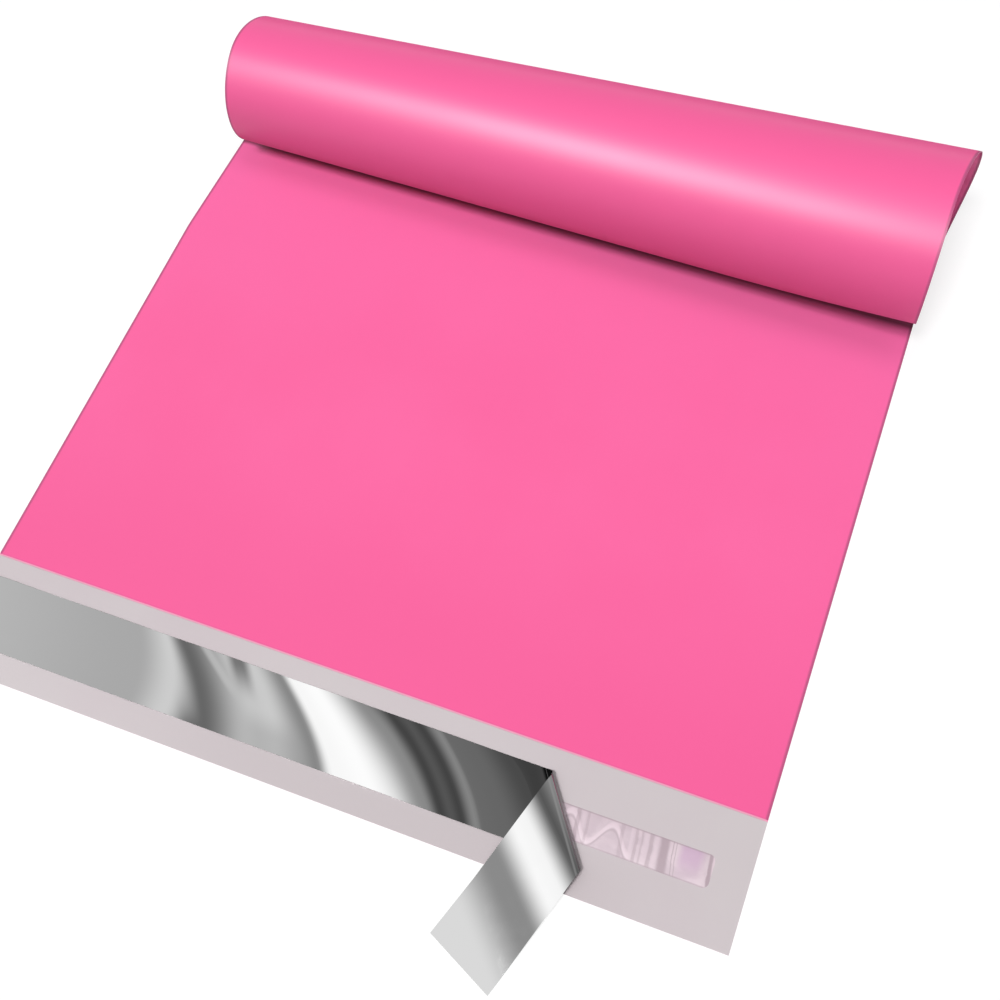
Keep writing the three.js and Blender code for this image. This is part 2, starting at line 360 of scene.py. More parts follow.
CLOSED_END = FLAP_DEPTH + BODY_LENGTH
FLAT_ROUGHNESS = 0.75
CURL_ROUGHNESS = 0.42
GRAZED_ROUGHNESS = 0.95
GRAZED_RANGE = (0.55, 0.85)
GLOSS_FADE = 0.02
# Where a tone starts and ends: distances from the mouth, for the dark side line from a side edge,
# and for the back from the flap's free edge
EDGE_BAND = 0.0005
EDGE_SHADE_BAND = 0.0012
LIP_LINE = (EDGE_BAND * 0.7, EDGE_BAND * 1.2)
DARK_SIDE_LINE = (0.00036, 0.00117)
NEAR_MOUTH = (0.0, 0.085)
FAR_FROM_MOUTH = (0.08, 0.19)
BACK_END = (CLOSED_END, CLOSED_END + 0.001)
SLIT_START = (0.1743, 0.1763)
SLIT_END = (0.20, 0.21)
SLIT_LEAN = 0.0258
# Turns of the curl, in radians, over which its painted shade comes in, and the darker painted shade
# of its lower front
CURL_TURNS = (0.0, 1.5)
CURL_FRONT_TURNS = (3.3, 4.6)
PAINTED_LIP_SHADE = 0.15
DARK_SIDE_LINE_SHARE = 0.8
SLIT_SHADE = 0.8


def pink_film():
    """Outside of the film: satin pink, with a painted highlight along the cut mouth and a dark line
    along each side edge.

    The front panel has painted shade near the mouth and just behind its pale line, painted light
    towards the curl, and painted shade in the slit under it. The curl has painted shade by the turn
    round it, darker on its lower front. The film is glossier where the curl stretches it, duller where
    it lies loose, and duller again where it is seen along the surface.
    """
    material, tree, shader = new_material("pink_film", Specular_IOR_Level=0.3)
    film = grained(tree, PINK_LIGHT, PINK_DEEP, 0.0)
    x, y = film_xy(tree)
    from_mouth = maths(tree, "SUBTRACT", FILM_LENGTH, y)
    back = ramp(tree, y, *BACK_END, 1.0, 0.0)
    front = maths(tree, "SUBTRACT", 1.0, back)
    # Painted shade on the front panel near the mouth, and painted light on it towards the curl
    near_mouth = maths(tree, "MULTIPLY", ramp(tree, from_mouth, *NEAR_MOUTH, 1.0, 0.0), front)
    skin = mixed(tree, near_mouth, film["Colour"], PINK_PAINTED_SHADE_NEAR_MOUTH)
    far = maths(tree, "MULTIPLY", ramp(tree, from_mouth, *FAR_FROM_MOUTH), front)
    skin = mixed(tree, far, skin, PINK_PAINTED_LIGHT_NEAR_CURL)

    # Painted shade on the curl by the turn round it, darker on its lower front
    slope = (CURL_RADIUS_RIGHT - CURL_RADIUS_LEFT) / BAG_WIDTH
    radius = maths(tree, "MULTIPLY_ADD", x, slope, (CURL_RADIUS_RIGHT + CURL_RADIUS_LEFT) / 2)
    curled = maths(tree, "SUBTRACT", y, FLAP_DEPTH + FLAT_LENGTH_LEFT)
    turn = maths(tree, "DIVIDE", curled, radius)
    curl = maths(tree, "MULTIPLY", ramp(tree, turn, *CURL_TURNS), back)
    skin = mixed(tree, curl, skin, PINK_CURL_PAINTED_SHADE)
    painted_curl_front_shade = maths(tree, "MULTIPLY", ramp(tree, turn, *CURL_FRONT_TURNS), back)
    skin = mixed(tree, painted_curl_front_shade, skin, PINK_PAINTED_CURL_FRONT_SHADE)

    # A dark line along each side edge
    from_side = maths(tree, "SUBTRACT", BAG_WIDTH / 2, maths(tree, "ABSOLUTE", x))
    weld = ramp(tree, from_side, *DARK_SIDE_LINE, DARK_SIDE_LINE_SHARE, 0.0)
    # Painted shade just behind the mouth's pale line
    painted_lip_shade = ramp(tree, from_mouth, EDGE_BAND, EDGE_SHADE_BAND, PAINTED_LIP_SHADE, 0.0)
    shaded = mixed(tree, maths(tree, "MAXIMUM", painted_lip_shade, weld), skin, PINK_SIDE_LINE_AND_LIP_SHADE)
    # Painted shade in the slit under the curl
    under_curl = maths(tree, "ADD", from_mouth, maths(tree, "MULTIPLY", x, SLIT_LEAN))
    slit = ramp(tree, under_curl, *SLIT_START, 0.0, SLIT_SHADE)
    slit = maths(tree, "MULTIPLY", slit, ramp(tree, from_mouth, *SLIT_END, 1.0, 0.0))
    shaded = mixed(tree, slit, shaded, PINK_PAINTED_SLIT_SHADE)
    # A painted highlight along the mouth's cut edge
    seen = mixed(tree, ramp(tree, from_mouth, *LIP_LINE, 1.0, 0.0), shaded, PINK_PAINTED_MOUTH_HIGHLIGHT)
    bounced = node(tree, "LightPath").outputs["Is Diffuse Ray"]
    tree.links.new(mixed(tree, bounced, seen, PINK_BOUNCE), shader.inputs["Base Color"])

    curl_start = BODY_LENGTH - FLAT_LENGTH_LEFT
    gloss = ramp(tree, difference(tree, y, CLOSED_END), curl_start - GLOSS_FADE, curl_start,
                 CURL_ROUGHNESS, FLAT_ROUGHNESS)
    facing = node(tree, "LayerWeight", Blend=0.5).outputs["Facing"]
    grazed = ramp(tree, facing, *GRAZED_RANGE, CURL_ROUGHNESS, GRAZED_ROUGHNESS)
    gloss = maths(tree, "MAXIMUM", gloss, grazed)
    tree.links.new(maths(tree, "ADD", gloss, film["Roughness"]), shader.inputs["Roughness"])
    tree.links.new(bumped(tree, film["Height"], GRAIN_DEPTH), shader.inputs["Normal"])
    return material


# Gray inside of the film, and a darker strip along the flap's free edge, painted shade near the
# peeled liner: where that comes in and goes out along the edge, and how far it reaches up the flap
GRAY_LIGHT = srgb(203, 195, 197)
GRAY_DEEP = srgb(200, 189, 193)
GRAY_DARKER_STRIP = srgb(192, 182, 185)
DARK_STRIP_START = (-0.085, -0.01)
DARK_STRIP_END = (0.07, 0.11)
DARK_STRIP_REACH = (0.006, 0.016)
DARK_STRIP_SHARE = 0.8
# Cut edge of the film: pale pink tones, painted as a highlight
CUT_EDGE_HIGHLIGHT_LIGHT = srgb(240, 168, 196)
CUT_EDGE_HIGHLIGHT_DEEP = srgb(225, 145, 180)
INNER_ROUGHNESS = 0.5


def gray_film():
    """Inside of the film: a faintly warm gray, darker along the middle of the flap's free edge, with
    painted shade near the peeled liner.
    """
    material, tree, shader = new_material("gray_film", Specular_IOR_Level=0.3)
    film = grained(tree, GRAY_LIGHT, GRAY_DEEP, INNER_ROUGHNESS)
    x, y = film_xy(tree)
    # A darker strip along the flap's free edge, painted shade near the peeled liner
    dark_strip = maths(tree, "MULTIPLY", ramp(tree, x, *DARK_STRIP_START), ramp(tree, x, *DARK_STRIP_END, 1.0, 0.0))
    dark_strip = maths(tree, "MULTIPLY", dark_strip, ramp(tree, y, *DARK_STRIP_REACH, DARK_STRIP_SHARE, 0.0))
    tree.links.new(mixed(tree, dark_strip, film["Colour"], GRAY_DARKER_STRIP), shader.inputs["Base Color"])
    tree.links.new(film["Roughness"], shader.inputs["Roughness"])
    tree.links.new(bumped(tree, film["Height"], GRAIN_DEPTH), shader.inputs["Normal"])
    return material


def cut_edge_painted_highlight():
    """Cut edge of the film: pale pink, a painted highlight along the edge."""
    material, tree, shader = new_material("cut_edge_painted_highlight", Specular_IOR_Level=0.3)
    film = grained(tree, CUT_EDGE_HIGHLIGHT_LIGHT, CUT_EDGE_HIGHLIGHT_DEEP, INNER_ROUGHNESS)
    tree.links.new(film["Colour"], shader.inputs["Base Color"])
    tree.links.new(film["Roughness"], shader.inputs["Roughness"])
    return material


# Adhesive: its tones, blotches and gloss, a painted highlight along its ridge and beside its folds,
# and painted shade under the ridge, in the folds and along the rim
GLUE_LIGHT = srgb(217, 199, 207)
GLUE_DEEP = srgb(205, 187, 196)
GLUE_PAINTED_HIGHLIGHT = srgb(228, 209, 218)
GLUE_BLUSH = srgb(203, 172, 197)
GLUE_PAINTED_SHADE = srgb(172, 152, 161)
BLOTCH_SCALE = 150.0
BLOTCH_RANGE = (0.35, 0.65)
GLUE_GLOSS_RANGE = (0.3, 0.7)
GLUE_ROUGHNESS = (0.28, 0.42)
GLUE_FINE_SCALE = 700.0
GLUE_FINE_DEPTH = 0.00002
# Distances from a line or an edge, over which a tone fades, and the share of the tone on it: the
# painted highlight along the ridge and beside the folds, and the painted shade under the ridge and
# along the rim
RIDGE_FADE = (0.0004, 0.0014)
RIDGE_SHARE = 0.9
RIDGE_SHADE_FADE = (0.0001, 0.0008)
RIDGE_SHADE_SHARE = 0.5
RIDGE_STOP = (RIDGE_END - 0.001, RIDGE_END + 0.001)
RIBBON_SHARE = 0.4
GLUE_RIM_FADE = (0.0001, 0.0006)
GLUE_RIM_SHARE = 0.75
# The mauve blush at the adhesive's right end, along it and up from below its middle line
BLUSH_START = (0.1055, 0.1080)
BLUSH_END = (0.1115, 0.1145)
BLUSH_RISE = (GLUE_MIDDLE - 0.004, GLUE_MIDDLE + 0.002)
BLUSH_SHARES = (0.15, 0.9)


def hot_melt():
    """Translucent hot-melt adhesive, faintly mauve, with painted highlights on its wavy ridge and by
    its folds, and painted shade under the ridge, in the folds and along its dark rim.
    """
    material, tree, shader = new_material("hot_melt", Specular_IOR_Level=0.5)
    x, y = film_xy(tree)
    object_place = node(tree, "TexCoord").outputs["Object"]
    blotch = node(tree, "TexNoise", Vector=object_place, Scale=BLOTCH_SCALE, Detail=3.0, Distortion=0.8)
    blotch = blotch.outputs[0]
    colour = mixed(tree, ramp(tree, blotch, *BLOTCH_RANGE), GLUE_DEEP, GLUE_LIGHT)

    # Painted shade just below the wavy ridge, and a painted highlight along it
    phase = maths(tree, "MULTIPLY", maths(tree, "SUBTRACT", x, RIDGE_CREST), RIDGE_RATE)
    swing = maths(tree, "MULTIPLY", maths(tree, "COSINE", phase), RIDGE_SWING)
    above_ridge = maths(tree, "SUBTRACT", y, maths(tree, "ADD", swing, GLUE_MIDDLE))
    on_ridge = ramp(tree, x, *RIDGE_STOP, 1.0, 0.0)
    off_shade = maths(tree, "ABSOLUTE", maths(tree, "ADD", above_ridge, RIDGE_SHADE_DROP))
    ridge_shade = ramp(tree, off_shade, *RIDGE_SHADE_FADE, RIDGE_SHADE_SHARE, 0.0)
    colour = mixed(tree, maths(tree, "MULTIPLY", ridge_shade, on_ridge), colour, GLUE_PAINTED_SHADE)
    ridge = ramp(tree, maths(tree, "ABSOLUTE", above_ridge), *RIDGE_FADE, RIDGE_SHARE, 0.0)
    colour = mixed(tree, maths(tree, "MULTIPLY", ridge, on_ridge), colour, GLUE_PAINTED_HIGHLIGHT)

    blush = maths(tree, "MULTIPLY", ramp(tree, x, *BLUSH_START), ramp(tree, x, *BLUSH_END, 1.0, 0.0))
    blush = maths(tree, "MULTIPLY", blush, ramp(tree, y, *BLUSH_RISE, *BLUSH_SHARES))
    colour = mixed(tree, blush, colour, GLUE_BLUSH)

    wander = maths(tree, "MULTIPLY", maths(tree, "SUBTRACT", blotch, 0.5), FOLD_WANDER)
    leaning = maths(tree, "MULTIPLY", maths(tree, "SUBTRACT", y, GLUE_MIDDLE), FOLD_LEAN)
    straight = maths(tree, "ADD", x, maths(tree, "ADD", leaning, wander))
    # Painted highlights beside the folds, and painted shade in them
    for middle, half in GLUE_RIBBONS:
        off = difference(tree, straight, middle)
        colour = mixed(tree, ramp(tree, off, half * 0.4, half * 1.8, RIBBON_SHARE, 0.0), colour, GLUE_PAINTED_HIGHLIGHT)
    for middle, half, depth in GLUE_FOLDS:
        off = difference(tree, straight, middle)
        colour = mixed(tree, ramp(tree, off, half * 0.5, half * 1.3, depth, 0.0), colour, GLUE_PAINTED_SHADE)

    # Painted shade along the adhesive's rim
    from_edge = maths(tree, "SUBTRACT", GLUE_HALF_WIDTH, difference(tree, y, GLUE_MIDDLE))
    rim = ramp(tree, from_edge, *GLUE_RIM_FADE, GLUE_RIM_SHARE, 0.0)
    tree.links.new(mixed(tree, rim, colour, GLUE_PAINTED_SHADE), shader.inputs["Base Color"])
    gloss = ramp(tree, blotch, *GLUE_GLOSS_RANGE, *GLUE_ROUGHNESS)
    tree.links.new(gloss, shader.inputs["Roughness"])
    fine = node(tree, "TexNoise", Vector=object_place, Scale=GLUE_FINE_SCALE, Detail=2.0).outputs[0]
    tree.links.new(bumped(tree, fine, GLUE_FINE_DEPTH), shader.inputs["Normal"])
    return material


# Crests and troughs of the painted reflections in the silver film's colour: the place along the
# strip in mm from the bag's middle, and the gray there from 0 to 1, where it lies on the adhesive and
# past the bend
PAINTED_REFLECTION_BANDS = (
    (-127, 0.71), (-66, 0.66), (-54, 0.80), (-45, 0.40), (-27, 0.77), (-21, 0.79), (-9.5, 0.53),
    (-5, 0.97), (4, 0.99), (23, 0.54), (29.5, 0.26), (33, 0.33), (37, 0.26), (42, 0.52), (44, 0.41),
    (51, 0.40), (63, 0.29),
)
PEELED_PAINTED_REFLECTION_BANDS = (
    (62, 0.29), (66, 0.24), (71.5, 0.30), (75, 0.53), (80.5, 0.34), (88, 0.96), (92, 0.97),
    (101, 0.54), (104.5, 0.54), (119, 0.85), (127, 0.85),
)
# How far a band slants: mm along the strip for each mm across it, by the band's place in mm
BAND_SLANTS = (
    (-66, 0.35), (-56, 0.42), (-47, 0.80), (-25, 0.78), (-8, 1.05), (6, 1.30), (15, 1.40),
    (24, 1.20), (30, 1.05), (42, 0.92), (60, 0.90), (72, 0.50), (127, 0.50),
)
USUAL_SLANT = 0.9
# How much a band bows, where along the strip the bow fades out, and where the peeled tones start
BAND_CURVE = 16.0
BAND_CURVE_END = (0.05, 0.07)
PEEL_PLACE = 0.064
# A painted mid-gray patch of reflection low between two bands: where it comes in and goes out
# along the strip, and how far below the strip's middle it comes in
PATCH_START = (-0.036, -0.026)
PATCH_END = (-0.016, -0.010)
PATCH_DROP = (0.0, 0.008)
PATCH_SHARE = 0.45
PATCH_PAINTED_REFLECTION = 0.60
# Slanted lines of painted reflection from the strip's upper edge, a dark pocket and a light streak:
# place at its middle and slant, distances over which they fade to the sides and down the strip,
# share and tone
POCKET_LINE = (-0.0280, 0.80)
POCKET_FADE = (0.0010, 0.0050)
POCKET_DROP = (-0.011, 0.0)
POCKET_SHARE = 0.95
POCKET_PAINTED_REFLECTION = 0.44
STREAK_LINE = (-0.0315, 1.45)
STREAK_FADE = (0.0004, 0.0030)
STREAK_DROP = (-0.004, 0.002)
STREAK_SHARE = 0.75
STREAK_PAINTED_REFLECTION = 0.74
# Distances past the start of the bend: the painted shade of the hollow inside it, and the painted
# light crease of reflection after it
HOLLOW_MIDDLE = 0.0014
HOLLOW_FADE = (0.0012, 0.0022)
HOLLOW_PAINTED_SHADE = 0.06
CREASE_MIDDLE = 0.0064
CREASE_FADE = (0.0001, 0.0005)
CREASE_SHARE = 0.5
CREASE_PAINTED_REFLECTION = 0.58
SILVER_FINE_SCALE = 220.0
SILVER_FINE_RANGE = (0.3, 0.7)
SILVER_ROUGHNESS = (0.03, 0.05)


def by_place(tree, place, stops, tone):
    """A smooth ColorRamp over the strip's length: tone makes a colour of the value at each stop."""
    share = ramp(tree, place, -BAG_WIDTH / 2, BAG_WIDTH / 2, smooth=False)
    bands = node(tree, "ValToRGB", Fac=share)
    bands.color_ramp.interpolation = "EASE"
    elements = bands.color_ramp.elements
    while len(elements) < len(stops):
        elements.new(0.5)
    for element, (at, value) in zip(elements, stops):
        element.position = at / 1000 / BAG_WIDTH + 0.5
        element.color = tone(value)
    return bands.outputs["Color"]


def gray_tone(value):
    """A gray that a picture shows at this share of white."""
    return srgb(255 * value, 255 * value, 255 * value)


def half_value(value):
    """Half a number, kept as a gray, since a colour ramp holds no more than 1."""
    return (value / 2, value / 2, value / 2, 1.0)


def silver_film():
    """Bright silver release film, with long light and dark bands of painted reflection in its colour.

    A band runs across the strip on its own slant and bows a little. Between two of the bands, at
    the strip's upper edge, a painted light streak bounds a painted dark pocket, and both fade
    downwards. The hollow of the bend has painted shade, and a painted light crease follows it on the
    peeled part.
    """
    material, tree, shader = new_material("silver_film", Metallic=1.0)
    x, y = film_xy(tree)
    down = maths(tree, "SUBTRACT", LINER_MIDDLE, y)
    roughly = maths(tree, "SUBTRACT", x, maths(tree, "MULTIPLY", down, USUAL_SLANT))
    slant = by_place(tree, roughly, BAND_SLANTS, half_value)
    slant = maths(tree, "MULTIPLY", slant, 2.0)
    bow = maths(tree, "POWER", maths(tree, "ABSOLUTE", down), 2.0)
    bow = maths(tree, "MULTIPLY", bow, BAND_CURVE)
    bow = maths(tree, "MULTIPLY", bow, ramp(tree, x, *BAND_CURVE_END, 1.0, 0.0))
    along = maths(tree, "SUBTRACT", x, maths(tree, "MULTIPLY", down, slant))
    along = maths(tree, "ADD", along, bow)
    # Painted reflections: the bands' grays where the strip lies on the adhesive and past the bend
    stuck = by_place(tree, along, PAINTED_REFLECTION_BANDS, gray_tone)
    peeled = by_place(tree, along, PEELED_PAINTED_REFLECTION_BANDS, gray_tone)
    tone = mixed(tree, maths(tree, "GREATER_THAN", along, PEEL_PLACE), stuck, peeled)

    # Painted reflections: a mid-gray patch, a dark pocket and a light streak
    patch = maths(tree, "MULTIPLY", ramp(tree, along, *PATCH_START),
                  ramp(tree, along, *PATCH_END, 1.0, 0.0))
    patch = maths(tree, "MULTIPLY", patch, ramp(tree, down, *PATCH_DROP, 0.0, PATCH_SHARE))
    tone = mixed(tree, patch, tone, gray_tone(PATCH_PAINTED_REFLECTION))
    pocket = ramp(tree, off_line(tree, x, down, *POCKET_LINE), *POCKET_FADE, POCKET_SHARE, 0.0)
    pocket = maths(tree, "MULTIPLY", pocket, ramp(tree, down, *POCKET_DROP, 1.0, 0.0))
    tone = mixed(tree, pocket, tone, gray_tone(POCKET_PAINTED_REFLECTION))
    streak = ramp(tree, off_line(tree, x, down, *STREAK_LINE), *STREAK_FADE, STREAK_SHARE, 0.0)
    streak = maths(tree, "MULTIPLY", streak, ramp(tree, down, *STREAK_DROP, 1.0, 0.0))
    tone = mixed(tree, streak, tone, gray_tone(STREAK_PAINTED_REFLECTION))

    # Painted shade in the bend's hollow, and a painted light crease after it
    bent = maths(tree, "MULTIPLY", maths(tree, "SUBTRACT", x, BEND_X), BEND_NORMAL[0])
    bent = maths(tree, "SUBTRACT", bent, maths(tree, "MULTIPLY", down, BEND_NORMAL[1]))
    hollow = ramp(tree, difference(tree, bent, HOLLOW_MIDDLE), *HOLLOW_FADE, 1.0, 0.0)
    tone = mixed(tree, hollow, tone, gray_tone(HOLLOW_PAINTED_SHADE))
    crease = ramp(tree, difference(tree, bent, CREASE_MIDDLE), *CREASE_FADE, CREASE_SHARE, 0.0)
    tone = mixed(tree, crease, tone, gray_tone(CREASE_PAINTED_REFLECTION))
    tree.links.new(tone, shader.inputs["Base Color"])

    object_place = node(tree, "TexCoord").outputs["Object"]
    fine = node(tree, "TexNoise", Vector=object_place, Scale=SILVER_FINE_SCALE).outputs[0]
    gloss = ramp(tree, fine, *SILVER_FINE_RANGE, *SILVER_ROUGHNESS)
    tree.links.new(gloss, shader.inputs["Roughness"])
    return material


def off_line(tree, x, down, middle, slant):
    """Distance along the strip from a slanted line that passes the strip's middle there."""
    return difference(tree, x, maths(tree, "MULTIPLY_ADD", down, slant, middle))


# Bag film

def film_point(x, station, offset, beyond):
    """A point of the bag's film, as the frame's solid has it.

    A station is how far along the bag a point is: -1 the flap's free edge, 0 the mouth, 1 the start
    of the curl and 2 the closed end. The flat stretch lies on the floor, and the curl is an arc
    whose radius grows from left to right and tucks in by the square of the turn past its start.
    The offset is measured inwards from the outer face, and beyond runs on along the film. The film
    is wound a little askew: it shifts to the right by a squared sine of the turn, and back.
    """
    side = x / BAG_WIDTH + 0.5
    flat_length = FLAT_LENGTH_LEFT + (FLAT_LENGTH_RIGHT - FLAT_LENGTH_LEFT) * side
    radius = CURL_RADIUS_LEFT + (CURL_RADIUS_RIGHT - CURL_RADIUS_LEFT) * side
    turn = np.maximum(station - 1, 0) * (BODY_LENGTH - flat_length) / radius
    along = np.where(station < 0, station * FLAP_DEPTH, np.minimum(station, 1) * flat_length)
    travelled = along + turn * radius
    lean = np.maximum(travelled - LEFT_EDGE_LEAN_START, 0) / (BODY_LENGTH - LEFT_EDGE_LEAN_START)
    tucked = np.maximum(turn - TUCK_START, 0) / (math.pi / 2)
    reach = radius - offset - TUCK_DEPTH * tucked ** 2
    askew = WIND_SHIFT * np.sin(math.pi * np.clip(turn / WIND_SHIFT_END, 0, 1)) ** 2
    return np.stack([
        x + lean * LEFT_EDGE_LEAN * (1 - side) + askew,
        along + reach * np.sin(turn) + beyond * np.cos(turn),
        radius - reach * np.cos(turn) + beyond * np.sin(turn),
    ], -1)


def soft_waves(x, y):
    """Slight puckers of film that lies loose: three crossed sine waves, from -1 to 1."""
    waves = [share * np.sin(across * x + up * y + phase) for across, up, phase, share in PUCKER_WAVES]
    return sum(waves) / sum(wave[-1] for wave in PUCKER_WAVES)


def pocket_gap(x, station):
    """Height of the pocket: nearly none at the side welds, open at the mouth and lofted between.

    The loft is a parabola across the bag times half a sine wave along the flat stretch.
    """
    inside = np.clip((BAG_WIDTH / 2 - np.abs(x)) / SIDE_WELD_WIDTH, 0, 1)
    half_width = BAG_WIDTH / 2 - SIDE_WELD_WIDTH
    middle = np.maximum(1 - (x / half_width) ** 2, 0)
    lengthwise = np.sin(math.pi * np.clip(station, 0, 1))
    loft = POCKET_LOFT * middle * lengthwise
    pucker = PUCKER_HEIGHT * soft_waves(x, station * FLAT_LENGTH_LEFT) * np.sqrt(middle) * lengthwise
    curled = CURL_LOFT * middle * np.clip(station - 1, 0, 1)
    return WELD_GAP + MOUTH_GAP * inside + loft + pucker + curled


def bag_film(materials):
    """The whole film as one sheet, from the flap's free edge to the closed end and back again.

    Rows follow the film: flap, back panel, curl, a half circle round the closed end, then the front
    panel back to the mouth. Columns run across the bag, closer together at the side welds.
    """
    half_width = BAG_WIDTH / 2
    weld = half_width - SIDE_WELD_WIDTH
    x = steps((-half_width, 4), (-weld, 84), (weld, 4), (half_width, 0))
    out = steps((-1, 16), (0, 66), (1, 104), (2, 0))
    lip = EDGE_BAND / FLAT_LENGTH_RIGHT
    back = steps((2, 104), (1, 64), (3 * lip, 4), (lip, 2), (0, 0))
    fold = steps((0, 8), (math.pi, 0))[1:-1]
    station = np.concatenate([out, np.full(len(fold), 2.0), back])
    angle = np.concatenate([np.zeros(len(out)), fold, np.full(len(back), math.pi)])
    across, station = np.meshgrid(x, station)
    angle = np.broadcast_to(angle[:, None], across.shape)
    between = FILM_THICKNESS + pocket_gap(across, station)
    offset = FILM_THICKNESS / 2 + between * (1 - np.cos(angle)) / 2
    middle = film_point(across, station, offset, np.sin(angle) * between / 2)
    travelled = np.where(station < 0, station * FLAP_DEPTH, path_length(across, station))
    length = np.where(angle > math.pi / 2, 2 * BODY_LENGTH - travelled, travelled) + FLAP_DEPTH
    place = np.stack([across, length], -1)
    return sheet_mesh("bag_film_sheet", middle, FILM_THICKNESS, place, materials)


def path_length(x, station):
    """Film length from the mouth to a station."""
    side = x / BAG_WIDTH + 0.5
    flat_length = FLAT_LENGTH_LEFT + (FLAT_LENGTH_RIGHT - FLAT_LENGTH_LEFT) * side
    curled = np.maximum(station - 1, 0) * (BODY_LENGTH - flat_length)
    return np.minimum(station, 1) * flat_length + curled


# Adhesive

def past_bend(x, y):
    """Distance of a point of the flap from the line where the liner's bend starts."""
    return (x - BEND_X) * BEND_NORMAL[0] + (y - LINER_MIDDLE) * BEND_NORMAL[1]


def adhesive(material):
    """A low crowned bead: a rounded rectangle, with a flat bottom and relief on its top.

    Half its width at a place along it is full but for a quarter circle at each end. The height is
    the crown, one minus the fourth power of the share of the half width, with the relief on it.
    """
    reach = glue_high.x
    bend = np.sin(steps((0, 8), (math.pi / 2, 0)))
    ends = reach - GLUE_CORNER + GLUE_CORNER * bend
    straight = steps((-ends[0], 700), (ends[0], 0))[1:-1]
    x = np.concatenate([-ends[::-1], straight, ends])
    into_end = np.clip((np.abs(x) - ends[0]) / GLUE_CORNER, 0, 1)
    half = GLUE_HALF_WIDTH - GLUE_CORNER * (1 - np.sqrt(1 - into_end ** 2))
    share = np.sin(steps((-math.pi / 2, 18), (math.pi / 2, 0)))
    x, share = np.meshgrid(x, share, indexing="ij")
    y = GLUE_MIDDLE + share * half[:, None]
    crown = (1 - share ** 4) * np.sqrt(np.clip((reach - np.abs(x)) / GLUE_CORNER, 0.02, 1))
    bare = np.clip(past_bend(x, y) / BARE_FADE, 0, 1)
    height = FILM_THICKNESS + crown * (GLUE_HEIGHT + bare * glue_relief(x, y))
    top = np.stack([x, y, height], -1)
    bottom = np.stack([x, y, np.full_like(x, FILM_THICKNESS * 0.5)], -1)
    return bead_mesh("adhesive_bead", top, bottom, material)


def glue_relief(x, y):
    """Relief that the peeled liner left: a raised cosine ridge, and a groove along each fold."""
    ridge_y = GLUE_MIDDLE + RIDGE_SWING * np.cos(RIDGE_RATE * (x - RIDGE_CREST))
    ridge = np.exp(-(((y - ridge_y) / RIDGE_HALF_WIDTH) ** 2))
    ridge = ridge * np.clip((RIDGE_END - x) / RIDGE_END_FADE, 0, 1)
    relief = GLUE_RIDGE_HEIGHT * ridge
    for middle, half, depth in GLUE_FOLDS:
        off = x - middle - FOLD_LEAN * (GLUE_MIDDLE - y)
        relief = relief - GLUE_RIDGE_HEIGHT * depth * np.exp(-((off / half) ** 2))
    return relief


def bead_mesh(name, top, bottom, material):
    """A closed body from a top grid and a bottom grid, joined by a wall round their edges."""
    rows, columns = top.shape[:2]
    points = np.concatenate([top.reshape(-1, 3), bottom.reshape(-1, 3)])
    upper = np.arange(rows * columns).reshape(rows, columns)
    lower = upper + rows * columns
    top_faces = np.stack([upper[:-1, :-1], upper[1:, :-1], upper[1:, 1:], upper[:-1, 1:]], -1)
    low_faces = np.stack([lower[:-1, 1:], lower[1:, 1:], lower[1:, :-1], lower[:-1, :-1]], -1)
    loop = np.concatenate([upper[:, 0], upper[-1, 1:], upper[:-1, -1][::-1], upper[0, 1:-1][::-1]])
    after = np.roll(loop, -1)
    wall = np.stack([after, loop, loop + rows * columns, after + rows * columns], -1)
    faces = np.concatenate([top_faces.reshape(-1, 4), low_faces.reshape(-1, 4), wall])
    return quad_object(name, points, faces, np.zeros(len(faces)), points[:, :2], [material])


# Release liner

def liner_profile(distance):
    """Run and height of the liner's middle, by the film's length from the bend's start.

    It is flat on the adhesive, then an arc of the bend's radius, a straight ramp down, an arc that
    lands on the floor, and flat again. The ramp is the tangent that joins the two arcs.
    """
    base = FILM_THICKNESS + GLUE_HEIGHT + LINER_THICKNESS / 2
    floor = LINER_THICKNESS / 2
    peel_run = -math.sin(2 * BEND_SLANT)
    away = math.sin(BEND_SLANT)
    flap_run = (FLAP_DEPTH - LINER_SETBACK) / peel_run
    landing = LANDING_RUN - flap_run * away - math.pi / 2 * BEND_RADIUS
    drop = base + BEND_RADIUS - floor - LANDING_RADIUS
    apart = math.hypot(landing, drop)
    slope = math.atan2(drop, landing) + math.asin((BEND_RADIUS + LANDING_RADIUS) / apart)
    bend_end = BEND_RADIUS * (math.pi + slope)
    ramp_end = bend_end + math.sqrt(apart ** 2 - (BEND_RADIUS + LANDING_RADIUS) ** 2)
    landed = ramp_end + LANDING_RADIUS * slope
    turned = np.clip(distance / BEND_RADIUS, 0, math.pi + slope)
    down = np.clip(distance, bend_end, ramp_end) - bend_end
    left = np.clip((landed - distance) / LANDING_RADIUS, 0, slope)
    run = (np.minimum(distance, 0) + BEND_RADIUS * np.sin(turned) - down * math.cos(slope)
           - LANDING_RADIUS * (math.sin(slope) - np.sin(left)) - np.maximum(distance - landed, 0))
    height = (base + BEND_RADIUS * (1 - np.cos(turned)) - down * math.sin(slope)
              - LANDING_RADIUS * (np.cos(left) - math.cos(slope)))
    return run, height


